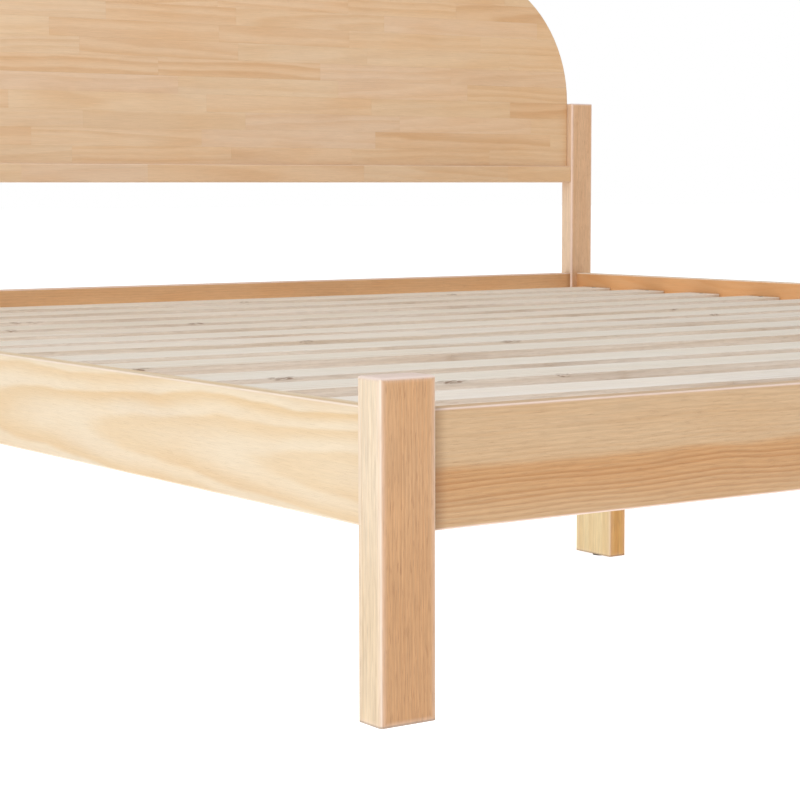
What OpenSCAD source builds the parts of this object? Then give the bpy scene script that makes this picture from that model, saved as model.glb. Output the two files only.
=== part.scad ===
// A low double bed frame in edge-glued pine: four corner legs, four rails, a headboard with
// large rounded corners, a slatted base on ledgers and two beams with legs of their own.
// The origin is on the floor under the middle of the bed. +Y points to the head, +Z is up.

/* [Mattress] */
// Width of the mattress that the frame holds
mattress_w = 1800; // [1400:10:2000]
// Length of the mattress that the frame holds
mattress_l = 2000; // [1900:10:2100]
// Gap between the mattress and each side rail
side_play = 8; // [2:1:20]
// Gap between the mattress and each end rail
end_play = 11; // [2:1:20]

/* [Rails] */
// Thickness of the glued boards that the rails and the headboard are cut from
board_t = 18; // [16:1:24]
// Height of a rail
rail_h = 94; // [80:1:120]
// Height of the underside of the rails above the floor
rail_z = 146; // [120:1:200]
// How far a side rail is set in from the outer side of the legs
side_setback = 19; // [10:1:24]
// How far an end rail is set in from the front of the legs
end_setback = 3; // [2:1:6]
// Radius along the edges of the rails
rail_edge_r = 2.5; // [1:0.5:4]

/* [Legs] */
// Width of a corner leg, across the bed
leg_w = 52; // [50:1:70]
// Depth of a corner leg, along the bed
leg_d = 32; // [28:1:40]
// Height of the legs at the foot of the bed
foot_leg_h = 266; // [250:1:320]
// Height of the posts at the head of the bed
post_h = 574; // [540:1:620]
// Radius along the edges of the legs
leg_edge_r = 3.5; // [1:0.5:5]

/* [Headboard] */
// Height of the top of the headboard above the floor
headboard_top = 822; // [810:1:900]
// Radius of the two upper corners of the headboard
corner_r = 246; // [150:1:248]
// Height of the underside of the headboard's bottom rail
bottom_rail_z = 419; // [380:1:440]
// Height of the headboard's bottom rail
bottom_rail_h = 32; // [28:1:50]

/* [Slatted base] */
// Width of a slat
slat_w = 82; // [60:1:90]
// Thickness of a slat
slat_t = 16; // [14:1:20]
// How far the top of the slats lies under the top of the rails
slat_drop = 26; // [20:1:34]
// Distance from the foot of the bed to the first slat
first_slat = 121; // [60:1:130]
// Distance from the foot of the bed to the last slat
last_slat = 1934; // [1860:1:1945]
// Width of the ledger that carries the ends of the slats
ledger_w = 20; // [18:1:24]
// Height of the ledger
ledger_h = 30; // [24:1:32]

/* [Centre beams] */
// Distance between the middles of the two beams
beam_spacing = 644; // [500:1:700]
// Thickness of a beam and of a leg under it
beam_t = 22; // [18:1:24]
// Height of a beam
beam_h = 45; // [40:1:50]
// Width of a leg under a beam
beam_leg_w = 59; // [50:1:80]
// Distance from the foot or the head of the bed to the nearest leg under a beam
beam_leg_inset = 487; // [300:1:700]
// Diameter of the round glide under each of these legs
glide_d = 17; // [14:1:20]
// Thickness of the glide
glide_t = 2; // [2:0.5:4]

/* [Hidden] */
$fn = 48;
// The slats are laid by eye: how far each one lies off its even place
laid_off = [0, 9, 27, 10, 43, 27, 28, 3, -3, -13, -8, -7, 0];
slat_count = len(laid_off);

// Colours
pine = [0.87, 0.70, 0.50];
pale_pine = [0.90, 0.84, 0.73];
steel = [0.72, 0.72, 0.74];
glide_black = [0.08, 0.08, 0.08];

// Outer size of the bed, and the faces that the other pieces are set from
bed_w = mattress_w + 2 * (side_play + board_t + side_setback);
bed_l = mattress_l + 2 * end_play + board_t + leg_d;
foot_y = -bed_l / 2;
head_y = bed_l / 2;
post_y = head_y - leg_d;
inner_x = bed_w / 2 - side_setback - board_t;
leg_x = bed_w / 2 - leg_w;
rail_top = rail_z + rail_h;
rail_mid_z = rail_z + rail_h / 2;
side_rail_x = inner_x + board_t / 2;
foot_rail_y = foot_y + end_setback;
head_rail_y = post_y + end_setback;

// Headboard: the panel is flush with the back of the posts
panel_y = head_y - board_t;
panel_z = bottom_rail_z + bottom_rail_h;
panel_mid_y = head_y - board_t / 2;
corner_x = leg_x - corner_r;
corner_z = headboard_top - corner_r;

// Slatted base
slat_top = rail_top - slat_drop;
slat_z = slat_top - slat_t;
slat_l = 2 * inner_x - 6;
slat_pitch = (last_slat - first_slat) / (slat_count - 1);
slat_hole_x = inner_x - ledger_w / 2;
ledger_end_gap = 2;

// Beams
beam_x = beam_spacing / 2;
hanger_t = 2;
hanger_h = 34;
beam_end_gap = 3;
beam_y0 = foot_rail_y + board_t + beam_end_gap;
beam_y1 = head_rail_y - beam_end_gap;
beam_z = slat_z - beam_h;
beam_leg_x = beam_x - beam_t;
beam_leg_foot_y = foot_y + beam_leg_inset;
beam_leg_head_y = head_y - beam_leg_inset - beam_leg_w;

// Fasteners
gap = 0.1;
dowel_r = 4;
dowel_l = 38;
side_dowel_spread = 18;
end_dowel_spread = 30;
bolt_r = 3;
bolt_in_leg = 18;
bolt_in_rail = 46;
nut_r = 5;
nut_l = 14;
nut_from_end = 36;
screw_r = 2;
screw_head_r = 4;
screw_head_h = 2.5;
slat_screw_l = 40;
ledger_screw_l = 32;
beam_leg_screw_l = 36;
hanger_screw_l = 16;
ledger_screw_count = 9;
panel_dowel_count = 6;

function slat_name(i) = str("slat_", i < 10 ? "0" : "", i);
function slat_y(i) = foot_y + first_slat + (i - 1) * slat_pitch + laid_off[i - 1];
function ledger_screw_y(i) = foot_y + 60 + i * (bed_l - 120) / (ledger_screw_count - 1);
function panel_dowel_x(i) = -leg_x + 120 + i * (2 * leg_x - 240) / (panel_dowel_count - 1);

// A rectangle with round corners
module round_rect(size, r) {
    translate([r, 0]) square([size[0] - 2 * r, size[1]]);
    translate([0, r]) square([size[0], size[1] - 2 * r]);
    for (x = [r, size[0] - r], y = [r, size[1] - r])
        translate([x, y]) circle(r);
}

// Bars between two corners, with round edges along X, Y or Z
module bar_x(low, high, r) {
    size = high - low;
    translate(low) rotate([90, 0, 90]) linear_extrude(size[0]) round_rect([size[1], size[2]], r);
}

module bar_y(low, high, r) {
    size = high - low;
    translate([low[0], high[1], low[2]])
        rotate([90, 0, 0]) linear_extrude(size[1]) round_rect([size[0], size[2]], r);
}

module bar_z(low, high, r) {
    size = high - low;
    translate(low) linear_extrude(size[2]) round_rect([size[0], size[1]], r);
}

// A cylinder from a point along +X, +Y or +Z
module rod_x(p, r, l) {
    translate(p) rotate([0, 90, 0]) cylinder(r = r, h = l);
}

module rod_y(p, r, l) {
    translate(p) rotate([-90, 0, 0]) cylinder(r = r, h = l);
}

module rod_z(p, r, l) {
    translate(p) cylinder(r = r, h = l);
}

// Both ends or both sides of the bed
module both_sides() {
    children();
    mirror([1, 0, 0]) children();
}

// A countersunk screw that points down from the origin, or the hole for it when grow is set
module screw_shape(l, grow) {
    rotate_extrude()
        polygon([
            [0, grow],
            [screw_head_r + grow, grow],
            [screw_head_r + grow, 0],
            [screw_r + grow, -screw_head_h],
            [screw_r + grow, -l + 4],
            [0, -l - grow]
        ]);
}

module screw(l) {
    difference() {
        screw_shape(l, 0);
        translate([-2, -0.4, -1.2]) cube([4, 0.8, 2]);
        translate([-0.4, -2, -1.2]) cube([0.8, 4, 2]);
    }
}

// Places for the fasteners: each puts its children at every place
module at_slat_holes() {
    for (i = [1:slat_count], side = [-1, 1])
        translate([side * slat_hole_x, slat_y(i) + slat_w / 2, slat_top]) children();
}

module at_ledger_holes(side) {
    for (i = [0:ledger_screw_count - 1])
        translate([side * (inner_x - ledger_w), ledger_screw_y(i), slat_z - ledger_h / 2 - 5])
            rotate([0, side * -90, 0]) children();
}

module at_beam_leg_holes() {
    for (y = [beam_leg_foot_y, beam_leg_head_y], dy = [18, beam_leg_w - 18])
        translate([beam_leg_x - beam_t / 2, y + dy, beam_z + beam_h / 2])
            rotate([0, -90, 0]) children();
}

module at_hanger_holes() {
    for (x = [-beam_t / 2 - 14, beam_t / 2 + 14]) {
        translate([beam_x + x, foot_rail_y + board_t + hanger_t, beam_z + hanger_h / 2])
            rotate([-90, 0, 0]) children();
        translate([beam_x + x, head_rail_y - hanger_t, beam_z + hanger_h / 2])
            rotate([90, 0, 0]) children();
    }
}

// Dowels and bolts of the right-hand side of the bed, or their holes when grow is set
module side_dowels(grow) {
    for (y = [foot_y + leg_d, post_y], dz = [-side_dowel_spread, side_dowel_spread])
        rod_y(
            [side_rail_x, y - dowel_l / 2 - grow, rail_mid_z + dz],
            dowel_r + grow,
            dowel_l + 2 * grow
        );
}

module side_bolts(grow) {
    rod_y(
        [side_rail_x, foot_y + leg_d - bolt_in_leg - grow, rail_mid_z],
        bolt_r + grow,
        bolt_in_leg + bolt_in_rail + 2 * grow
    );
    rod_y(
        [side_rail_x, post_y - bolt_in_rail - grow, rail_mid_z],
        bolt_r + grow,
        bolt_in_leg + bolt_in_rail + 2 * grow
    );
}

module side_nuts(grow) {
    for (y = [foot_y + leg_d + nut_from_end, post_y - nut_from_end])
        rod_x([inner_x - grow, y, rail_mid_z], nut_r + grow, nut_l + 2 * grow);
}

module end_dowels(grow) {
    for (y = [foot_rail_y, head_rail_y], dz = [-end_dowel_spread, end_dowel_spread])
        rod_x(
            [leg_x - dowel_l / 2 - grow, y + board_t / 2, rail_mid_z + dz],
            dowel_r + grow,
            dowel_l + 2 * grow
        );
}

module end_bolts(grow) {
    for (y = [foot_rail_y, head_rail_y])
        rod_x(
            [leg_x - bolt_in_rail - grow, y + board_t / 2, rail_mid_z],
            bolt_r + grow,
            bolt_in_leg + bolt_in_rail + 2 * grow
        );
}

module end_nuts(grow) {
    foot_nut_y = foot_rail_y + board_t - nut_l;
    rod_y([leg_x - nut_from_end, foot_nut_y - grow, rail_mid_z], nut_r + grow, nut_l + 2 * grow);
    rod_y([leg_x - nut_from_end, head_rail_y - grow, rail_mid_z], nut_r + grow, nut_l + 2 * grow);
}

module post_dowels(grow) {
    for (z = [panel_z + 26, panel_z + 90])
        rod_x([leg_x - dowel_l / 2 - grow, panel_mid_y, z], dowel_r + grow, dowel_l + 2 * grow);
    for (y = [head_rail_y + 7, head_y - 8])
        rod_x(
            [leg_x - dowel_l / 2 - grow, y, bottom_rail_z + bottom_rail_h / 2],
            dowel_r + grow,
            dowel_l + 2 * grow
        );
}

module panel_dowels(grow) {
    for (i = [0:panel_dowel_count - 1])
        rod_z([panel_dowel_x(i), panel_mid_y, panel_z - 16 - grow], dowel_r + grow, dowel_l + 2 * grow);
}

// A corner leg on the right, rounded along its length and round its top
module leg_blank(y0, h) {
    low = [leg_x, y0, 0];
    high = [leg_x + leg_w, y0 + leg_d, h];
    below = [0, 0, -2 * leg_edge_r];
    intersection() {
        bar_z(low, high, leg_edge_r);
        bar_x(low + below, high, leg_edge_r);
        bar_y(low + below, high, leg_edge_r);
    }
}

module foot_leg() {
    color(pine) difference() {
        leg_blank(foot_y, foot_leg_h);
        side_dowels(gap);
        side_bolts(gap);
        end_dowels(gap);
        end_bolts(gap);
    }
}

module head_post() {
    color(pine) difference() {
        leg_blank(post_y, post_h);
        side_dowels(gap);
        side_bolts(gap);
        end_dowels(gap);
        end_bolts(gap);
        post_dowels(gap);
    }
}

module foot_leg_left() {
    mirror([1, 0, 0]) foot_leg();
}

module foot_leg_right() {
    foot_leg();
}

module head_post_left() {
    mirror([1, 0, 0]) head_post();
}

module head_post_right() {
    head_post();
}

module end_rail(y0) {
    color(pine) difference() {
        bar_x([-leg_x, y0, rail_z], [leg_x, y0 + board_t, rail_top], rail_edge_r);
        both_sides() {
            end_dowels(gap);
            end_bolts(gap);
            end_nuts(gap);
            at_hanger_holes() screw_shape(hanger_screw_l, gap);
        }
    }
}

module foot_rail() {
    end_rail(foot_rail_y);
}

module head_rail() {
    end_rail(head_rail_y);
}

module side_rail() {
    color(pine) difference() {
        bar_y(
            [inner_x, foot_y + leg_d, rail_z],
            [inner_x + board_t, post_y, rail_top],
            rail_edge_r
        );
        side_dowels(gap);
        side_bolts(gap);
        side_nuts(gap);
        at_ledger_holes(1) screw_shape(ledger_screw_l, gap);
    }
}

module side_rail_left() {
    mirror([1, 0, 0]) side_rail();
}

module side_rail_right() {
    side_rail();
}

// A quarter of a disc with a round rim: one upper corner of the headboard
module panel_corner() {
    translate([corner_x, head_y, corner_z])
        rotate([90, 0, 0])
            rotate_extrude(angle = 90)
                intersection() {
                    translate([-corner_r, 0]) round_rect([2 * corner_r, board_t], rail_edge_r);
                    square([corner_r, board_t]);
                }
}

module headboard_panel() {
    color(pine) difference() {
        union() {
            bar_z([-leg_x, panel_y, panel_z], [leg_x, head_y, corner_z], rail_edge_r);
            bar_x(
                [-corner_x, panel_y, corner_z - 10],
                [corner_x, head_y, headboard_top],
                rail_edge_r
            );
            both_sides() panel_corner();
        }
        both_sides() post_dowels(gap);
        panel_dowels(gap);
    }
}

module headboard_bottom_rail() {
    color(pine) difference() {
        bar_x(
            [-leg_x, head_rail_y, bottom_rail_z],
            [leg_x, head_y, panel_z],
            rail_edge_r
        );
        both_sides() post_dowels(gap);
        panel_dowels(gap);
    }
}

module slat_ledger() {
    color(pale_pine) difference() {
        bar_y(
            [inner_x - ledger_w, foot_y + leg_d + ledger_end_gap, slat_z - ledger_h],
            [inner_x, post_y - ledger_end_gap, slat_z],
            1
        );
        at_slat_holes() screw_shape(slat_screw_l, gap);
        at_ledger_holes(1) screw_shape(ledger_screw_l, gap);
    }
}

module slat_ledger_left() {
    mirror([1, 0, 0]) slat_ledger();
}

module slat_ledger_right() {
    slat_ledger();
}

module centre_beam() {
    color(pale_pine) difference() {
        bar_y(
            [beam_x - beam_t / 2, beam_y0, beam_z],
            [beam_x + beam_t / 2, beam_y1, slat_z],
            1.5
        );
        at_beam_leg_holes() screw_shape(beam_leg_screw_l, gap);
    }
}

module centre_beam_left() {
    mirror([1, 0, 0]) centre_beam();
}

module centre_beam_right() {
    centre_beam();
}

module beam_leg(y0) {
    color(pine) difference() {
        bar_z(
            [beam_leg_x - beam_t / 2, y0, glide_t],
            [beam_leg_x + beam_t / 2, y0 + beam_leg_w, slat_z - 2],
            1.5
        );
        at_beam_leg_holes() screw_shape(beam_leg_screw_l, gap);
    }
}

module beam_leg_left_foot() {
    mirror([1, 0, 0]) beam_leg(beam_leg_foot_y);
}

module beam_leg_left_head() {
    mirror([1, 0, 0]) beam_leg(beam_leg_head_y);
}

module beam_leg_right_foot() {
    beam_leg(beam_leg_foot_y);
}

module beam_leg_right_head() {
    beam_leg(beam_leg_head_y);
}

module beam_leg_glides() {
    color(glide_black) both_sides()
        for (y = [beam_leg_foot_y, beam_leg_head_y])
            rod_z([beam_leg_x, y + beam_leg_w / 2, 0], glide_d / 2, glide_t);
}

// A folded steel cradle on the inner face of the foot rail, open at the top
module beam_hanger() {
    wing = 24;
    depth = 32;
    y0 = foot_rail_y + board_t;
    x0 = beam_x - beam_t / 2;
    color(steel) difference() {
        union() {
            translate([x0 - wing, y0, beam_z]) cube([wing, hanger_t, hanger_h]);
            translate([x0 + beam_t, y0, beam_z]) cube([wing, hanger_t, hanger_h]);
            translate([x0 - hanger_t, y0, beam_z - hanger_t]) cube([hanger_t, depth, hanger_h]);
            translate([x0 + beam_t, y0, beam_z - hanger_t]) cube([hanger_t, depth, hanger_h]);
            translate([x0 - hanger_t, y0, beam_z - hanger_t])
                cube([beam_t + 2 * hanger_t, depth, hanger_t]);
        }
        at_hanger_holes() screw_shape(hanger_screw_l, gap);
    }
}

// The same cradle turned round, on the inner face of the head rail
module head_beam_hanger() {
    middle_y = (foot_rail_y + board_t + head_rail_y) / 2;
    translate([0, middle_y, 0]) mirror([0, 1, 0]) translate([0, -middle_y, 0]) beam_hanger();
}

module beam_hanger_left_foot() {
    mirror([1, 0, 0]) beam_hanger();
}

module beam_hanger_left_head() {
    mirror([1, 0, 0]) head_beam_hanger();
}

module beam_hanger_right_foot() {
    beam_hanger();
}

module beam_hanger_right_head() {
    head_beam_hanger();
}

module slat(i) {
    y0 = slat_y(i);
    color(pale_pine) difference() {
        bar_x([-slat_l / 2, y0, slat_z], [slat_l / 2, y0 + slat_w, slat_top], 1);
        for (side = [-1, 1])
            translate([side * slat_hole_x, y0 + slat_w / 2, slat_top])
                screw_shape(slat_screw_l, gap);
    }
}

// A barrel nut's cross hole is where its bolt goes through
module side_rail_barrel_nuts() {
    color(steel) both_sides() difference() {
        side_nuts(0);
        side_bolts(gap);
    }
}

module side_rail_bolts() {
    color(steel) both_sides() side_bolts(0);
}

module side_rail_dowels() {
    color(pale_pine) both_sides() side_dowels(0);
}

module end_rail_barrel_nuts() {
    color(steel) both_sides() difference() {
        end_nuts(0);
        end_bolts(gap);
    }
}

module end_rail_bolts() {
    color(steel) both_sides() end_bolts(0);
}

module end_rail_dowels() {
    color(pale_pine) both_sides() end_dowels(0);
}

module headboard_post_dowels() {
    color(pale_pine) both_sides() post_dowels(0);
}

module headboard_panel_dowels() {
    color(pale_pine) panel_dowels(0);
}

module slat_screws() {
    color(steel) at_slat_holes() screw(slat_screw_l);
}

module ledger_screws() {
    color(steel) both_sides() at_ledger_holes(1) screw(ledger_screw_l);
}

module beam_leg_screws() {
    color(steel) both_sides() at_beam_leg_holes() screw(beam_leg_screw_l);
}

module hanger_screws() {
    color(steel) both_sides() at_hanger_holes() screw(hanger_screw_l);
}

foot_leg_left();
foot_leg_right();
head_post_left();
head_post_right();
foot_rail();
head_rail();
side_rail_left();
side_rail_right();
headboard_panel();
headboard_bottom_rail();
slat_ledger_left();
slat_ledger_right();
centre_beam_left();
centre_beam_right();
beam_leg_left_foot();
beam_leg_left_head();
beam_leg_right_foot();
beam_leg_right_head();
beam_leg_glides();
beam_hanger_left_foot();
beam_hanger_left_head();
beam_hanger_right_foot();
beam_hanger_right_head();
for (i = [1:slat_count]) {
    slat(i);
}
side_rail_bolts();
side_rail_barrel_nuts();
side_rail_dowels();
end_rail_bolts();
end_rail_barrel_nuts();
end_rail_dowels();
headboard_post_dowels();
headboard_panel_dowels();
slat_screws();
ledger_screws();
beam_leg_screws();
hanger_screws();
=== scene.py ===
"""The looks of a pine bed frame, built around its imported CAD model.

Places are in metres in the bed's own frame. Inside the wood materials they are in millimetres.
The rails, legs, beams, headboard and hardware keep their CAD shapes and get materials here.
The slats are remade as sawn boards, with wavy edges and a little bark left on them.
"""

import math
import random
from dataclasses import dataclass, replace

import bmesh
import bpy
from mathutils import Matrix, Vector, noise


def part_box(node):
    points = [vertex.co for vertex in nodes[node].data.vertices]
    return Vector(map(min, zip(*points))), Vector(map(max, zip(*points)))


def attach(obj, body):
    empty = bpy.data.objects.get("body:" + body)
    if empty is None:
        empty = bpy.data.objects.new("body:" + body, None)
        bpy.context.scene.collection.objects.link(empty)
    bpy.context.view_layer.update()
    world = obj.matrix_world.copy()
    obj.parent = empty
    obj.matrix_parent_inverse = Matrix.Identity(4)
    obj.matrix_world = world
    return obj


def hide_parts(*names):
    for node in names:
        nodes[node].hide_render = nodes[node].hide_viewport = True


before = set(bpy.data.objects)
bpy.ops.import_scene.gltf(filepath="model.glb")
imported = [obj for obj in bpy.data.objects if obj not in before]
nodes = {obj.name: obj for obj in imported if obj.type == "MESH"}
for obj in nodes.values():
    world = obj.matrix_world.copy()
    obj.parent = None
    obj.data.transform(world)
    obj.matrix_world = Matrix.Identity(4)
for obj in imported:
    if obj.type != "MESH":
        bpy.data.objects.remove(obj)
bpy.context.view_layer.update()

# The camera stands in front of the bed's left foot, a little above the slats
CAMERA_PLACE = (-1.8474, -2.3714, 0.4052)
CAMERA_YAW = math.radians(34.59)
CAMERA_PITCH = math.radians(-5.51)
CAMERA_ROLL = math.radians(0.13)
SENSOR_MM = 36
LENS_MM = 98.03
VIEW_DEPTH = 100  # how far the camera sees, in metres

# How bright the white room, the lamps and the floor are
ROOM_LIGHT = 0.5
KEY_WATTS = 74
TOP_WATTS = 72
FLOOR_GLOW = 0.85
FLOOR_GREY = (0.6, 0.6, 0.6, 1)

FLOOR_REACH = 40  # from the middle of the floor to its sides, in metres

AXES = {"x": 0, "y": 1, "z": 2}
MM = 1000.0  # millimetres in a metre


# ------------------------------------------------------------ stage


def build_camera():
    data = bpy.data.cameras.new("camera")
    data.sensor_width = SENSOR_MM
    data.lens = LENS_MM
    data.clip_end = VIEW_DEPTH
    camera = bpy.data.objects.new("camera", data)
    camera.location = CAMERA_PLACE
    camera.rotation_euler = (math.pi / 2 + CAMERA_PITCH, CAMERA_ROLL, -CAMERA_YAW)
    bpy.context.scene.collection.objects.link(camera)
    bpy.context.scene.camera = camera


def build_room():
    """A white room that the camera sees brighter than it lights the bed."""
    world = bpy.data.worlds.new("white_room")
    world.use_nodes = True
    tree = world.node_tree
    background = tree.nodes["Background"]
    background.inputs["Color"].default_value = (1, 1, 1, 1)
    seen = tree.nodes.new("ShaderNodeLightPath").outputs["Is Camera Ray"]
    strength = tree.nodes.new("ShaderNodeMapRange")
    strength.inputs["To Min"].default_value = ROOM_LIGHT
    strength.inputs["To Max"].default_value = 1.0
    tree.links.new(seen, strength.inputs["Value"])
    tree.links.new(strength.outputs[0], background.inputs["Strength"])
    bpy.context.scene.world = world
    bpy.context.scene.view_settings.view_transform = "Standard"


def area_light(name, place, target, size, power):
    """A soft rectangular lamp that shines at a target."""
    data = bpy.data.lights.new(name, "AREA")
    data.shape = "RECTANGLE"
    data.size, data.size_y = size
    data.energy = power
    light = bpy.data.objects.new(name, data)
    light.location = place
    light.rotation_euler = (Vector(target) - Vector(place)).to_track_quat("-Z", "Y").to_euler()
    bpy.context.scene.collection.objects.link(light)


def build_floor():
    bm = bmesh.new()
    bmesh.ops.create_grid(bm, x_segments=1, y_segments=1, size=FLOOR_REACH)
    mesh = bpy.data.meshes.new("floor")
    bm.to_mesh(mesh)
    bm.free()
    floor = bpy.data.objects.new("floor", mesh)
    bpy.context.scene.collection.objects.link(floor)
    graph = Graph("floor_white")
    shader = graph.node("ShaderNodeBsdfPrincipled")
    shader.inputs["Base Color"].default_value = FLOOR_GREY
    shader.inputs["Roughness"].default_value = 1.0
    shader.inputs["Emission Color"].default_value = (1, 1, 1, 1)
    shader.inputs["Emission Strength"].default_value = FLOOR_GLOW
    graph.finish(shader)
    mesh.materials.append(graph.material)


# ------------------------------------------------------------ shader helpers


def colour(red, green, blue):
    """An sRGB colour, 0 to 255, as the linear colour that a shader takes."""
    linear = []
    for value in (red, green, blue):
        share = value / 255
        linear.append(share / 12.92 if share <= 0.04045 else ((share + 0.055) / 1.055) ** 2.4)
    return (*linear, 1)


class Graph:
    """A material whose nodes are added one call at a time."""

    def __init__(self, name):
        self.material = bpy.data.materials.new(name)
        self.material.use_nodes = True
        self.tree = self.material.node_tree
        self.tree.nodes.clear()

    def put(self, socket, value):
        if isinstance(value, bpy.types.NodeSocket):
            self.tree.links.new(value, socket)
        else:
            socket.default_value = value

    def node(self, kind, inputs=None, **settings):
        made = self.tree.nodes.new(kind)
        for key, value in settings.items():
            setattr(made, key, value)
        for key, value in (inputs or {}).items():
            self.put(made.inputs[key], value)
        return made

    def math(self, operation, *values):
        made = self.node("ShaderNodeMath", dict(enumerate(values)), operation=operation)
        return made.outputs[0]

    def add(self, a, b):
        return self.math("ADD", a, b)

    def sub(self, a, b):
        return self.math("SUBTRACT", a, b)

    def mul(self, a, b):
        return self.math("MULTIPLY", a, b)

    def least(self, a, b):
        return self.math("MINIMUM", a, b)

    def most(self, a, b):
        return self.math("MAXIMUM", a, b)

    def scaled(self, value, factor, offset):
        return self.math("MULTIPLY_ADD", value, factor, offset)

    def facing(self, axis, sign=0):
        """How far a face looks along an axis, either way if sign is 0."""
        normal = self.split(self.node("ShaderNodeNewGeometry").outputs["Normal"])[AXES[axis]]
        return self.mul(normal, sign) if sign else self.math("ABSOLUTE", normal)

    def ramp(self, value, low, high, to_low=0.0, to_high=1.0):
        """value going smoothly from to_low at low to to_high at high."""
        numbers = dict(enumerate((value, low, high, to_low, to_high)))
        return self.node("ShaderNodeMapRange", numbers, interpolation_type="SMOOTHSTEP").outputs[0]

    def mix(self, share, a, b, blend="MIX"):
        made = self.node("ShaderNodeMix", {0: share, 6: a, 7: b}, data_type="RGBA", blend_type=blend)
        return made.outputs[2]

    def tinted(self, base, share, tint):
        """base multiplied by a linear tint, as far as share says."""
        return self.mix(share, base, (*tint, 1), "MULTIPLY")

    def shaded(self, base, shade):
        grey = self.node("ShaderNodeCombineColor", {0: shade, 1: shade, 2: shade}).outputs[0]
        return self.mix(1.0, base, grey, "MULTIPLY")

    def vector(self, x, y, z):
        return self.node("ShaderNodeCombineXYZ", {0: x, 1: y, 2: z}).outputs[0]

    def split(self, vector):
        return self.node("ShaderNodeSeparateXYZ", {0: vector}).outputs

    def chances(self, number):
        """Three random shares that depend only on a number."""
        made = self.node("ShaderNodeTexWhiteNoise", {"W": number}, noise_dimensions="1D")
        return self.node("ShaderNodeSeparateColor", {0: made.outputs["Color"]}).outputs

    def noise(self, vector, detail=2.0, roughness=0.5):
        inputs = {"Vector": vector, "Scale": 1.0, "Detail": detail, "Roughness": roughness}
        return self.node("ShaderNodeTexNoise", inputs).outputs[0]

    def stretched(self, place, scale, detail=2.0, roughness=0.5):
        """Noise with its own scale along the grain and across it, in cycles per millimetre."""
        along, across = scale
        x, y, z = place
        vector = self.vector(self.mul(x, along), self.mul(y, across), self.mul(z, across))
        return self.noise(vector, detail, roughness)

    def choice(self, share, colours):
        """One of the colours, each as wide a part of share as the others."""
        ramp = self.node("ShaderNodeValToRGB", {0: share})
        ramp.color_ramp.interpolation = "CONSTANT"
        elements = ramp.color_ramp.elements
        for number, value in enumerate(colours):
            spot = elements[number] if number < 2 else elements.new(number / len(colours))
            spot.position = number / len(colours)
            spot.color = value
        return ramp.outputs["Color"], ramp.outputs["Alpha"]

    def bump(self, height, strength, distance):
        """A surface with a relief, whose distance is in metres."""
        made = self.node("ShaderNodeBump", {"Height": height})
        made.inputs["Strength"].default_value = strength
        made.inputs["Distance"].default_value = distance
        return made.outputs[0]

    def finish(self, shader):
        out = self.node("ShaderNodeOutputMaterial")
        self.tree.links.new(shader.outputs[0], out.inputs["Surface"])


# ------------------------------------------------------------ wood

# The noises in the wood: cycles per millimetre along the grain and across it
CLOUD_SCALE = (0.006, 0.022)
DULL_SCALE = (0.004, 0.03)
FIBRE_SCALE = (0.02, 0.55)
FINE_SCALE = (0.05, 1.6)
PORE_SCALE = (0.06, 1.9)
HAIR_SCALE = (0.009, 1.3)
WEAR_AND_HIGHLIGHT_SCALE = (0.03, 0.25)
FLECK_SCALE = (0.12, 0.9)
RIPPLE_SCALE = (0.02, 0.09)
SWAY_SCALE = (0.005, 0.012)
BAND_SCALE = (0.004, 0.03)
SAW_SCALE = (0.35, 0.02)

# What parts of the wood are multiplied by, as linear colours
WARM_TINT = (0.97, 0.88, 0.76)
DULL_TINT = (0.93, 0.93, 0.96)
PORE_TINT = (0.62, 0.5, 0.4)
HAIR_TINT = (0.72, 0.62, 0.52)
SOLE_SHADOW_TINT = (0.45, 0.4, 0.36)
CORNER_SHADE_TINT = (0.62, 0.56, 0.5)

BARK = (118, 90, 68)  # in sRGB, as the tones of the wood are

# Lengths in millimetres
GLUE_LINE = 0.7  # half the width of a glue line between staves
FINGER_LINE = 0.8  # half the width of a line between two glued lengths
RING_REACH = 90  # how far to the side of a stave its heart can lie
RIPPLE = 0.8  # how far a year ring ripples to either side
BAND_SWAY = 7  # how far the edge of a dark band sways
CORNER_SHADE = 14.0  # how far the painted shade reaches from a leg along a rail

# How far apart the random numbers and noises of two boards, staves, pieces or rings are
SEED_STEP = 311.0
SEED_ROW_STEP = 11.0
ROW_STEP = 17.0
PIECE_STEP = 40.0
RING_STEP = 50.0
PIECE_SHIFT = 37.0  # how many pieces one stave can be shifted along against another

LOOSE = 0.8  # how far the lengths of glued pieces differ, from 0 to 1
ASIDE_SPREAD = 0.3  # how far a heart that lies aside strays, as a share of its reach
END_EDGE_NARROWING = 1.3  # how much narrower the pale edge, partly wear and partly painted highlight, is at the end of a board than along it


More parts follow.
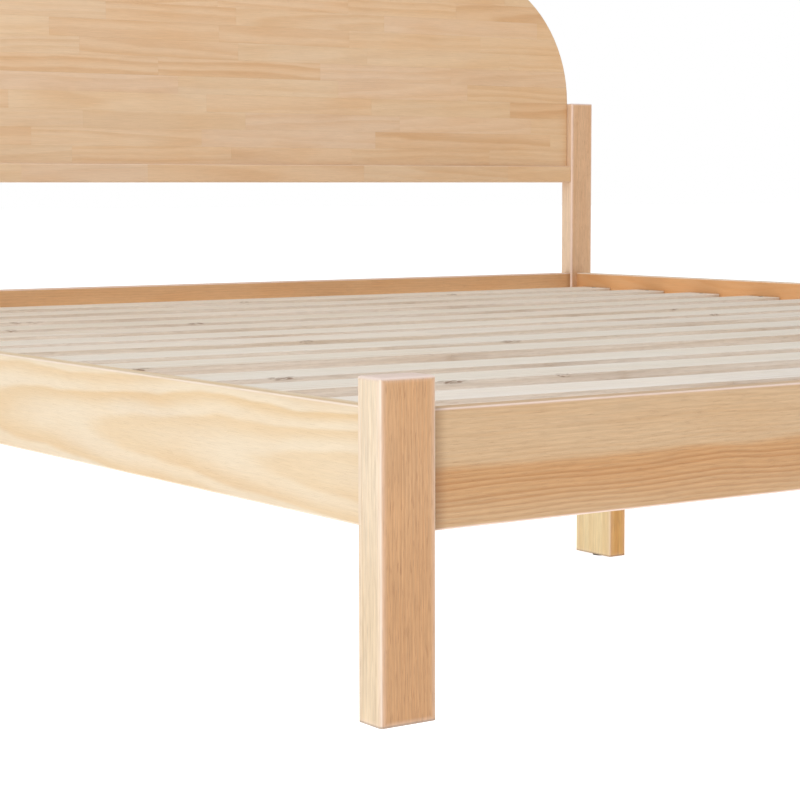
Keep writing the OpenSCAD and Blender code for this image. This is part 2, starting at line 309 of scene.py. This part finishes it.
@dataclass
class Wood:
    """How a family of boards looks. Lengths are in millimetres."""

    tones: tuple  # pairs of an sRGB colour and how strongly its year rings show
    tint: tuple = (0.88, 0.76, 0.62)  # what late wood multiplies a colour by
    stave: float = 400  # width of a glued stave
    first: float = 0  # where a stave begins, along the axis across the grain
    piece: float = 2500  # usual length between finger joints
    ring: float = 4  # width of a year ring
    wander: float = 4  # how far the rings sway along the board
    pith: tuple = (30, 90)  # how deep the heart of the tree lies below the face
    aside: float = 0.0  # how far to the side of a stave the heart lies
    lean: float = 0.02  # how fast the heart comes nearer along the board
    fibre: float = 1.0  # how strongly the fibres show
    pores: float = 0.3  # how dark the short pores are
    glue: float = 0.05  # how dark the glue lines are
    band: tuple = ()  # a dark band: how high it begins, how far down it goes, and its tint
    rubbed_and_highlit: tuple = (236, 210, 194)  # colour of the wood beside its edges: pale wear with a painted highlight in it
    bare_and_highlight: tuple = (252, 243, 234)  # colour of the edges themselves: bare wood with a painted highlight
    edge_width: float = 4.0
    edge_share: float = 0.6
    ends: bool = False  # whether the edges at the ends get the pale wear and painted highlight too
    end_tone: tuple = (224, 206, 198)  # colour of the end faces, if ends is set
    fade: tuple = ()  # where along the grain a tint begins, where it is full, and the tint
    clouds: float = 0.5  # how strongly the warm and the dull clouds show
    variety: float = 0.06  # how much lighter one glued piece is than another
    end_shade: float = 0.0  # painted shade: how much darker a board is where it meets a leg
    foot_shadow: float = 0.0  # painted shadow: how dark the lowest edge of a leg is, where it stands on the floor
    bark: bool = False  # whether the mesh says where bark is left
    other: tuple = ()  # tones of the faces that look along other_axis: their own wood, painted lighter or darker for how the light falls on that side
    other_axis: str = "x"
    other_sign: int = 0  # which way those faces look, or 0 for both
    roughness: float = 0.42
    coat: float = 0.12
    saw: float = 0.0  # how strongly saw marks show
    seed: int = 1


def glued_staves(graph, wood, along, cross):
    """Where a point is in its stave and in its glued length, and how near their glue lines."""
    row_place = graph.mul(graph.sub(cross, wood.first), 1 / wood.stave)
    row = graph.math("FLOOR", row_place)
    in_row = graph.math("FRACT", row_place)
    offset = graph.mul(graph.chances(graph.add(row, wood.seed * SEED_ROW_STEP))[0], PIECE_SHIFT)
    place = graph.scaled(along, 1 / wood.piece, offset)
    inputs = {"W": place, "Randomness": LOOSE, "Scale": 1.0}
    cell = graph.node("ShaderNodeTexVoronoi", inputs, voronoi_dimensions="1D")
    edge = graph.node(
        "ShaderNodeTexVoronoi",
        inputs,
        feature="DISTANCE_TO_EDGE",
        voronoi_dimensions="1D",
    )
    from_middle = graph.mul(graph.sub(place, cell.outputs["W"]), wood.piece)
    chances = graph.chances(graph.add(cell.outputs["W"], graph.mul(row, ROW_STEP)))
    to_row_edge = graph.sub(0.5, graph.math("ABSOLUTE", graph.sub(in_row, 0.5)))
    glue = graph.most(
        graph.ramp(to_row_edge, 0.0, GLUE_LINE / wood.stave, 1.0, 0.0),
        graph.ramp(edge.outputs["Distance"], 0.0, FINGER_LINE / wood.piece, 1.0, 0.0),
    )
    middle = graph.scaled(in_row, wood.stave, -wood.stave / 2)
    return middle, from_middle, chances, glue


def year_rings(graph, wood, place, middle, from_middle, chances):
    """How much late wood there is at a point: rings about a heart that leans and wanders."""
    along, cross, deep = place
    sway_along, sway_across = SWAY_SCALE
    slow = graph.vector(
        graph.mul(along, sway_along),
        graph.mul(chances[0], PIECE_STEP),
        graph.mul(cross, sway_across),
    )
    sway = graph.scaled(graph.noise(slow, 2.0), 2 * wood.wander, -wood.wander)
    reach = min(wood.stave, RING_REACH)
    spread = ASIDE_SPREAD * reach if wood.aside else reach
    heart = graph.scaled(chances[0], 2 * spread, wood.aside - spread)
    sideways = graph.add(graph.add(middle, heart), sway)
    nearest, furthest = wood.pith
    lean = graph.mul(graph.scaled(chances[2], 2 * wood.lean, -wood.lean), from_middle)
    below = graph.add(graph.scaled(chances[1], furthest - nearest, nearest), lean)
    below = graph.add(deep, below)
    squares = graph.add(graph.mul(sideways, sideways), graph.mul(below, below))
    ripple = graph.scaled(graph.stretched(place, RIPPLE_SCALE, 3.0), 2 * RIPPLE, -RIPPLE)
    radius = graph.add(graph.math("SQRT", squares), ripple)
    ring_place = graph.mul(radius, 1 / wood.ring)
    share = graph.math("FRACT", ring_place)
    grown = graph.mul(graph.ramp(share, 0.1, 0.75), graph.ramp(share, 0.78, 1.0, 1.0, 0.0))
    number = graph.add(graph.math("FLOOR", ring_place), graph.mul(chances[0], RING_STEP))
    return graph.mul(grown, graph.scaled(graph.chances(number)[0], 0.65, 0.35))


def side_distances(graph, box, axes):
    """How far a point is from the nearer side of its board, along each axis."""
    found = {}
    for number, axis in enumerate("xyz"):
        low, high = box[0][number] * MM, box[1][number] * MM
        found[axis] = graph.least(graph.sub(axes[number], low), graph.sub(high, axes[number]))
    return found


def edge_distance(graph, wood, sides, grain):
    """How far a point on a board is from the nearest of its edges."""
    end = sides[grain]
    a, b = (distance for axis, distance in sides.items() if axis != grain)
    if not wood.ends:
        return graph.most(a, b)
    return graph.most(graph.least(a, b), graph.least(graph.most(a, b), graph.mul(end, END_EDGE_NARROWING)))


def plain_wood(graph, wood, pick, cross, place):
    """The colour of a piece of wood, how strongly its rings show, and the share of its other side."""
    base, strength = graph.choice(pick, [(*colour(*t)[:3], s) for t, s in wood.tones])
    side = 0.0
    # painted light and shade: faces that look along other_axis get tones of their own, lighter where
    # the lamps fall and darker in shade
    if wood.other:
        other, other_strength = graph.choice(pick, [(*colour(*t)[:3], s) for t, s in wood.other])
        side = graph.ramp(graph.facing(wood.other_axis, wood.other_sign), 0.3, 0.85)
        base = graph.mix(side, base, other)
        strength = graph.mul(strength, graph.sub(1.0, side))
        strength = graph.add(strength, graph.mul(other_strength, side))
    if wood.band:
        begin, reach, tint = wood.band
        sway = graph.stretched(place, BAND_SCALE, 3.0)
        sway = graph.scaled(sway, 2 * BAND_SWAY, -BAND_SWAY)
        below = graph.sub(begin, graph.add(cross, sway))
        fading = graph.ramp(below, 0.2 * reach, reach, 1.0, 0.25)
        dark = graph.mul(graph.ramp(below, -3.0, 5.0), fading)
        base = graph.tinted(base, dark, tint)
        strength = graph.mul(strength, graph.scaled(dark, 0.7, 0.3))
    return base, strength, side


def clouded(graph, wood, found, along, place):
    """A colour with warm and dull clouds, and tinted toward one end of the board."""
    warm = graph.ramp(graph.stretched(place, CLOUD_SCALE, 3.0), 0.4, 0.72, 0.0, wood.clouds)
    found = graph.tinted(found, warm, WARM_TINT)
    turned = (place[0], place[2], place[1])
    dull = graph.ramp(graph.stretched(turned, DULL_SCALE, 2.0), 0.45, 0.75, 0.0, wood.clouds)
    found = graph.tinted(found, dull, DULL_TINT)
    if wood.fade:
        begin, full, tint = wood.fade
        found = graph.tinted(found, graph.ramp(along, begin, full), tint)
    return found


def fibrous(graph, wood, found, fibres, fine, dash, side, place):
    """A colour with the light and dark of the fibres, short pores and long hairs."""
    shade = graph.ramp(fibres, 0.3, 0.7, 1 - 0.07 * wood.fibre, 1 + 0.05 * wood.fibre)
    fine_shade = graph.ramp(fine, 0.3, 0.7, 1 - 0.05 * wood.fibre, 1 + 0.05 * wood.fibre)
    found = graph.shaded(found, graph.mul(shade, fine_shade))
    dashes = graph.mul(dash, wood.pores)
    if wood.other:
        dashes = graph.mul(dashes, graph.scaled(side, -0.8, 1.0))
    found = graph.tinted(found, dashes, PORE_TINT)
    hairs = graph.ramp(graph.stretched(place, HAIR_SCALE, 2.0), 0.58, 0.7)
    return graph.tinted(found, graph.mul(hairs, wood.pores * 0.6), HAIR_TINT)


def worn_and_highlit(graph, wood, found, edge, place):
    """A colour rubbed pale beside the edges and bare on them, partly wear and partly a painted
    highlight, and how rubbed it is.
    """
    # partly wear, partly painted highlight: a pale band beside each edge and a paler line on the edge
    # itself
    patchy = graph.ramp(graph.stretched(place, WEAR_AND_HIGHLIGHT_SCALE, 3.0), 0.25, 0.6, 0.7, 1.0)
    patchy = graph.mul(patchy, wood.edge_share)
    rubbed_and_highlit = graph.mul(graph.ramp(edge, 0.5, wood.edge_width, 1.0, 0.0), patchy)
    found = graph.mix(rubbed_and_highlit, found, colour(*wood.rubbed_and_highlit))
    bare_and_highlight = graph.mul(graph.ramp(edge, 0.9, 2.0, 1.0, 0.0), graph.mul(patchy, 1.2))
    return graph.mix(bare_and_highlight, found, colour(*wood.bare_and_highlight)), rubbed_and_highlit


def ended(graph, wood, found, grain, from_low_end, from_end):
    """A colour with pale end faces, a painted shadow line round the sole and a painted shade beside a
    leg.
    """
    if wood.ends:
        end_face = graph.ramp(graph.facing(grain), 0.2, 0.8, 0.0, 0.9)
        found = graph.mix(end_face, found, colour(*wood.end_tone))
    # painted shadow: a dark line round the lowest edge of a leg, where it meets the floor
    if wood.foot_shadow:
        line = graph.ramp(from_low_end, 0.6, 2.2, wood.foot_shadow, 0.0)
        found = graph.tinted(found, line, SOLE_SHADOW_TINT)
    # painted shade: a rail is darker near its ends, where it meets a leg
    if wood.end_shade:
        corner = graph.ramp(from_end, 0.0, CORNER_SHADE, wood.end_shade, 0.0)
        found = graph.tinted(found, corner, CORNER_SHADE_TINT)
    return found


def barked(graph, found, place):
    """A colour with flecks of bark where the mesh says that some is left."""
    left = graph.node("ShaderNodeAttribute", attribute_name="bark").outputs["Fac"]
    flecks = graph.ramp(graph.stretched(place, FLECK_SCALE, 3.0), 0.4, 0.6, 0.0, 0.8)
    return graph.mix(graph.mul(graph.ramp(left, 0.2, 0.7), flecks), found, colour(*BARK))


def wood_height(graph, wood, fibres, fine, dash, glue, place):
    """The relief: fibres, sunken pores and glue lines and, on sawn boards, the marks of the saw."""
    along, cross, deep = place
    height = graph.add(graph.mul(fibres, 0.8), graph.mul(fine, 0.5))
    height = graph.sub(height, graph.add(graph.mul(glue, 1.5), graph.mul(dash, 0.6)))
    if wood.saw:
        saw_along, saw_across = SAW_SCALE
        marks = graph.vector(graph.mul(along, saw_along), graph.mul(cross, saw_across), deep)
        height = graph.add(height, graph.mul(graph.noise(marks, 2.0), wood.saw))
    return height


def pine(name, box, grain, across, wood):
    """A pine material whose fibres run along the axis grain, in staves laid along across."""
    graph = Graph(name)
    depth = next(axis for axis in "xyz" if axis not in (grain, across))
    metres = graph.node("ShaderNodeTexCoord").outputs["Object"]
    scale = graph.node("ShaderNodeVectorMath", {0: metres, 3: MM}, operation="SCALE")
    axes = graph.split(scale.outputs[0])
    along, cross, deep = (axes[AXES[axis]] for axis in (grain, across, depth))
    deep = graph.sub(deep, box[0][AXES[depth]] * MM)
    place = (graph.add(along, wood.seed * SEED_STEP), cross, deep)

    middle, from_middle, chances, glue = glued_staves(graph, wood, along, cross)
    late = year_rings(graph, wood, place, middle, from_middle, chances)
    fibres = graph.stretched(place, FIBRE_SCALE, 4.0, 0.62)
    fine = graph.stretched(place, FINE_SCALE, 2.0, 0.6)
    dash = graph.ramp(graph.stretched(place, PORE_SCALE, 1.0), 0.62, 0.7)

    base, strength, side = plain_wood(graph, wood, chances[1], cross, place)
    found = graph.tinted(base, graph.mul(late, strength), wood.tint)
    found = clouded(graph, wood, found, along, place)
    piece_shade = graph.scaled(chances[2], wood.variety, 1 - wood.variety / 2)
    glue_shade = graph.scaled(glue, -wood.glue, 1.0)
    found = graph.shaded(found, graph.mul(piece_shade, glue_shade))
    found = fibrous(graph, wood, found, fibres, fine, dash, side, place)
    sides = side_distances(graph, box, axes)
    found, rubbed_and_highlit = worn_and_highlit(graph, wood, found, edge_distance(graph, wood, sides, grain), place)
    from_low_end = graph.sub(axes[AXES[grain]], box[0][AXES[grain]] * MM)
    found = ended(graph, wood, found, grain, from_low_end, sides[grain])
    if wood.bark:
        found = barked(graph, found, place)

    height = wood_height(graph, wood, fibres, fine, dash, glue, (along, cross, deep))
    gloss = graph.ramp(fine, 0.3, 0.7, wood.roughness + 0.08, wood.roughness - 0.04)
    gloss = graph.add(gloss, graph.mul(rubbed_and_highlit, 0.12))
    inputs = {"Base Color": found, "Roughness": gloss, "Normal": graph.bump(height, 0.5, 0.0003)}
    shader = graph.node("ShaderNodeBsdfPrincipled", inputs)
    shader.inputs["Coat Weight"].default_value = wood.coat
    shader.inputs["Coat Roughness"].default_value = 0.35
    graph.finish(shader)
    return graph.material


# ------------------------------------------------------------ other materials


METAL_BLOTCHES = 900.0  # cycles per metre
PLASTIC_GRAIN = 1500.0  # cycles per metre


def metal(name, tint, roughness):
    """Zinc plated steel with a faint blotchy grain."""
    graph = Graph(name)
    place = graph.node("ShaderNodeTexCoord").outputs["Object"]
    scaled = graph.node("ShaderNodeVectorMath", {0: place, 3: METAL_BLOTCHES}, operation="SCALE")
    blotch = graph.noise(scaled.outputs[0], 3.0)
    base = graph.mix(blotch, colour(*tint), colour(*(round(c * 0.82) for c in tint)))
    gloss = graph.ramp(blotch, 0.3, 0.7, roughness, roughness + 0.18)
    inputs = {"Base Color": base, "Roughness": gloss, "Normal": graph.bump(blotch, 0.15, 0.0001)}
    shader = graph.node("ShaderNodeBsdfPrincipled", inputs)
    shader.inputs["Metallic"].default_value = 1.0
    graph.finish(shader)
    return graph.material


def black_plastic():
    graph = Graph("glide_black")
    place = graph.node("ShaderNodeTexCoord").outputs["Object"]
    scaled = graph.node("ShaderNodeVectorMath", {0: place, 3: PLASTIC_GRAIN}, operation="SCALE")
    grain = graph.noise(scaled.outputs[0], 2.0)
    base = graph.mix(grain, colour(22, 22, 23), colour(38, 37, 36))
    gloss = graph.ramp(grain, 0.3, 0.7, 0.5, 0.7)
    inputs = {"Base Color": base, "Roughness": gloss, "Normal": graph.bump(grain, 0.3, 0.0001)}
    graph.finish(graph.node("ShaderNodeBsdfPrincipled", inputs))
    return graph.material


def dress(name, material):
    """Give a CAD node its material."""
    mesh = nodes[name].data
    mesh.materials.clear()
    mesh.materials.append(material)


def dress_wood(names, grain, across, wood):
    """Give each CAD node a pine of its own."""
    for number, name in enumerate(names):
        own = replace(wood, seed=wood.seed + number)
        dress(name, pine(name + "_pine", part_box(name), grain, across, own))


# ------------------------------------------------------------ slats

# Lengths here are in metres unless they say otherwise
SLATS = range(1, 14)
SLAT_RINGS = 120  # how many steps a slat has along its length
CORNER_STEPS = 2
CORNER_R = 0.0009
BARK_MARKS = 2  # how many places with bark a slat has
BARK_LENGTHS = (0.007, 0.016)  # half the length of such a place, as a share of the slat
BARK_R = 0.0016  # how much rounder a corner is where bark is left on it
BESIDE = 0.0045  # how far from a corner the faces are cut again, so that bark stays on the corner
EDGE_WAVER = 0.0016  # how far the edges of a slat waver
TOP_WAVER = 0.0005  # how far its upper face wavers
TOP_CUT = 0.0002  # how far its upper face lies under the CAD slat's at the least
SAG = 0.003  # how far the middle of the bed hangs down
SAG_LOSS = 0.8  # the share of it that is gone 1 m from there, toward the head or the foot
TONE_SPREAD = 0.12  # how far a slat's tone strays from the one that its place gives it
SLAT_SEED = 400
STAVE_MARGIN = 10  # how far a slat's one stave reaches past its edge, in millimetres


def slat_section(y_low, y_high, z_low, z_high, corners):
    """The outline of a slat's cut, as (y, z, which upper corner it is on or None).

    The four corners are rounded by their own radii, from the upper back one round to the lower
    back one."""
    centres = [(y_high, z_high), (y_low, z_high), (y_low, z_low), (y_high, z_low)]
    middle = (y_low + y_high) / 2
    beside = [
        [(y_high - BESIDE, z_high), (middle, z_high), (y_low + BESIDE, z_high)],
        [(y_low, z_high - BESIDE)],
        [],
        [(y_high, z_high - BESIDE)],
    ]
    points = []
    for corner, ((y, z), radius) in enumerate(zip(centres, corners)):
        way_y = -1 if y == y_high else 1
        way_z = -1 if z == z_high else 1
        for step in range(CORNER_STEPS + 1):
            turn = math.pi / 2 * (corner + step / CORNER_STEPS)
            across = y + way_y * radius + radius * math.cos(turn)
            up = z + way_z * radius + radius * math.sin(turn)
            points.append((across, up, corner if corner < 2 else None))
        points.extend((across, up, None) for across, up in beside[corner])
    return points


def between(near, far, share):
    """A tone and its strength between those of the slats at the foot and at the head."""
    tone = tuple(round(a + share * (b - a)) for a, b in zip(near[0], far[0]))
    return tone, near[1] + share * (far[1] - near[1])


def waver(number, x, line, size):
    """How far a line along a slat has wandered at x, from 0 to size."""
    smooth = noise.noise(Vector((x * 2.2, number * 5.1, line)))
    rough = noise.noise(Vector((x * 14.0, number * 5.1, line + 20)))
    return size * (0.5 + 0.5 * max(-1, min(1, 1.4 * smooth + 0.5 * rough)))


def build_slat(number):
    """One sawn slat in the space of its CAD node: wavy edges, and bark left at a few corners."""
    node = f"slat_{number:02d}"
    low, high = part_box(node)
    chance = random.Random(SLAT_SEED + number)
    marks = []
    for _ in range(BARK_MARKS):
        where = chance.uniform(0.05, 0.95)
        edge = chance.choice((0, 1))
        marks.append((where, edge, chance.uniform(*BARK_LENGTHS)))
    bm = bmesh.new()
    layer = bm.verts.layers.float.new("bark")
    rings = []
    for ring in range(SLAT_RINGS + 1):
        share = ring / SLAT_RINGS
        x = low.x + share * (high.x - low.x)
        left = [0.0, 0.0]
        for place, side, length in marks:
            left[side] = max(left[side], 1 - abs(share - place) / length)
        corners = [CORNER_R + BARK_R * left[0], CORNER_R + BARK_R * left[1], CORNER_R, CORNER_R]
        sag = SAG * (1 - SAG_LOSS * low.y**2) * (1 - (2 * share - 1) ** 2)
        outline = slat_section(
            low.y + waver(number, x, 1, EDGE_WAVER),
            high.y - waver(number, x, 2, EDGE_WAVER),
            low.z,
            high.z - TOP_CUT - waver(number, x, 3, TOP_WAVER) - sag,
            corners,
        )
        verts = []
        for y, z, corner in outline:
            vert = bm.verts.new((x, y, z))
            vert[layer] = 0.0 if corner is None else left[corner]
            verts.append(vert)
        rings.append(verts)
    count = len(rings[0])
    for before, after in zip(rings, rings[1:]):
        for spot in range(count):
            turn = (spot + 1) % count
            bm.faces.new((before[spot], after[spot], after[turn], before[turn]))
    bm.faces.new(rings[0])
    bm.faces.new(reversed(rings[-1]))
    bmesh.ops.recalc_face_normals(bm, faces=bm.faces)
    mesh = bpy.data.meshes.new("sawn_" + node)
    bm.to_mesh(mesh)
    bm.free()
    slat = bpy.data.objects.new("sawn_" + node, mesh)
    bpy.context.scene.collection.objects.link(slat)
    toward_head = (number - 1) / (len(SLATS) - 1) + chance.uniform(-TONE_SPREAD, TONE_SPREAD)
    toward_head = min(1, max(0, toward_head))
    own = replace(
        SLAT,
        tones=(between(*SLAT.tones, toward_head),),
        other=(between(*SLAT.other, toward_head),),
        seed=SLAT.seed + number,
        first=low.y * MM - STAVE_MARGIN,
    )
    mesh.materials.append(pine(node + "_pine", (low, high), "x", "y", own))
    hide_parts(node)
    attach(slat, "root")


# ------------------------------------------------------------ the bed

LEG = Wood(
    tones=(((202, 157, 113), 0.5), ((198, 152, 109), 0.5)),
    # painted light: the faces along x are paler, partly as the wood's own side and partly as painted
    # light and sheen from the lamp at the left
    other=(((219, 201, 175), 0.5), ((217, 197, 171), 0.5)),
    ring=3.0,
    wander=3,
    pith=(60, 120),
    lean=0.01,
    fibre=1.5,
    pores=0.8,
    bare_and_highlight=(242, 228, 214),
    edge_width=7,
    edge_share=0.42,
    clouds=0.25,
    ends=True,
    foot_shadow=0.8,
    fade=(210, 60, (0.94, 0.9, 0.83)),
    seed=11,
)
POST = replace(
    LEG,
    tones=(((207, 167, 129), 0.5), ((203, 163, 125), 0.5)),
    # painted light: the faces along x are paler, partly as wood and partly as painted light from the
    # left
    other=(((230, 202, 172), 0.4), ((226, 196, 164), 0.4)),
    rubbed_and_highlit=(232, 202, 186),
    bare_and_highlight=(240, 216, 202),
    edge_width=6,
    edge_share=0.8,
    fade=(),
    seed=15,
)
FOOT_RAIL = Wood(
    tones=(((204, 171, 132), 1.0), ((202, 169, 129), 1.0)),
    tint=(0.8, 0.66, 0.5),
    rubbed_and_highlit=(228, 200, 184),
    bare_and_highlight=(234, 214, 204),
    edge_width=3,
    stave=94,
    first=146,
    piece=9000,
    ring=4.5,
    wander=8,
    pith=(4, 20),
    aside=-110,
    lean=0.004,
    band=(195, 52, (0.95, 0.77, 0.56)),
    glue=0.03,
    end_shade=0.8,
    seed=21,
)
HEAD_RAIL = replace(
    FOOT_RAIL,
    tones=(((209, 163, 118), 0.4), ((211, 166, 120), 0.3)),
    stave=48,
    piece=900,
    aside=-70,
    band=(),
    seed=22,
)
SIDE_RAIL = Wood(
    tones=(((218, 200, 172), 0.95), ((219, 201, 173), 0.95), ((219, 202, 176), 0.9)),
    # painted shade: the inner faces are darker and more orange, partly as their own finish and partly
    # as painted shade and bounce light inside the bed
    other=(((220, 166, 112), 0.6), ((214, 158, 104), 0.6), ((224, 172, 120), 0.4)),
    tint=(0.93, 0.8, 0.6),
    stave=94,
    first=146,
    piece=1100,
    ring=12,
    wander=14,
    pith=(4, 40),
    lean=0.2,
    fibre=0.5,
    pores=0.1,
    glue=0.0,
    variety=0.02,
    rubbed_and_highlit=(232, 210, 190),
    bare_and_highlight=(240, 224, 208),
    edge_width=3,
    end_shade=0.4,
    seed=38,
)
HEADBOARD = Wood(
    tones=(
        ((222, 192, 158), 0.4),
        ((222, 190, 154), 0.5),
        ((222, 192, 161), 0.35),
        ((221, 188, 152), 0.7),
        ((222, 193, 159), 0.35),
    ),
    tint=(0.86, 0.74, 0.6),
    stave=30.7,
    first=451,
    piece=330,
    ring=10,
    wander=9,
    pith=(4, 50),
    lean=0.07,
    fibre=0.6,
    pores=0.1,
    edge_share=0.1,
    glue=0.03,
    variety=0.035,
    fade=(250, 850, (0.95, 0.89, 0.8)),
    seed=41,
)
BASE = Wood(
    tones=(((226, 196, 156), 0.6), ((220, 186, 144), 0.6)),
    ring=5,
    coat=0.0,
    roughness=0.6,
    seed=51,
)
BEAM_LEG = replace(
    LEG,
    tones=(((205, 158, 86), 1.1), ((205, 158, 86), 1.1)),
    # painted light: the faces along x are paler, partly as wood and partly as painted light from the
    # left
    other=(((226, 207, 162), 0.7), ((226, 207, 162), 0.7)),
    ring=9,
    edge_share=0.2,
    fade=(),
    seed=61,
)
SLAT = Wood(
    # painted light and shade: the upper faces (other) are paler and the sides darker, partly as wood
    # and partly as painted light from above and shade between the slats
    tones=(((215, 203, 190), 0.7), ((203, 190, 175), 0.7)),
    other=(((230, 224, 215), 0.6), ((225, 214, 199), 0.6)),
    other_axis="z",
    other_sign=1,
    tint=(0.84, 0.78, 0.7),
    stave=120,
    ring=7,
    edge_share=0.0,
    clouds=0.2,
    roughness=0.75,
    coat=0.0,
    saw=1.5,
    bark=True,
    seed=81,
)

build_camera()
build_room()
build_floor()
area_light("key", place=(-4.6, -2.2, 2.2), target=(0, 0, 0.3), size=(3.5, 3.0), power=KEY_WATTS)
area_light("top", place=(-0.5, -0.8, 3.6), target=(0, 0, 0.2), size=(4.0, 4.0), power=TOP_WATTS)

dress_wood(["foot_leg_left", "foot_leg_right"], "z", "x", LEG)
dress_wood(["head_post_left", "head_post_right"], "z", "x", POST)
dress_wood(["foot_rail"], "x", "z", FOOT_RAIL)
dress_wood(["head_rail"], "x", "z", HEAD_RAIL)
dress_wood(["side_rail_left"], "y", "z", replace(SIDE_RAIL, other_sign=1))
dress_wood(["side_rail_right"], "y", "z", replace(SIDE_RAIL, other_sign=-1, seed=32))
dress_wood(["headboard_panel", "headboard_bottom_rail"], "x", "z", HEADBOARD)
dress_wood(["slat_ledger_left", "slat_ledger_right"], "y", "z", BASE)
dress_wood(["centre_beam_left", "centre_beam_right"], "y", "z", BASE)
beam_legs = ["beam_leg_" + place for place in ("left_foot", "left_head", "right_foot", "right_head")]
dress_wood(beam_legs, "z", "y", BEAM_LEG)

zinc = metal("zinc", (178, 180, 184), 0.32)
around_bed = (Vector((-1, -1, 0)), Vector((1, 1, 1)))
beech = pine("dowel_beech", around_bed, "x", "y", replace(BASE, seed=71))
for name in nodes:
    if name.startswith("beam_hanger") or name.endswith(("screws", "bolts", "nuts")):
        dress(name, zinc)
    elif name.endswith("dowels"):
        dress(name, beech)
dress("beam_leg_glides", black_plastic())

for number in SLATS:
    build_slat(number)
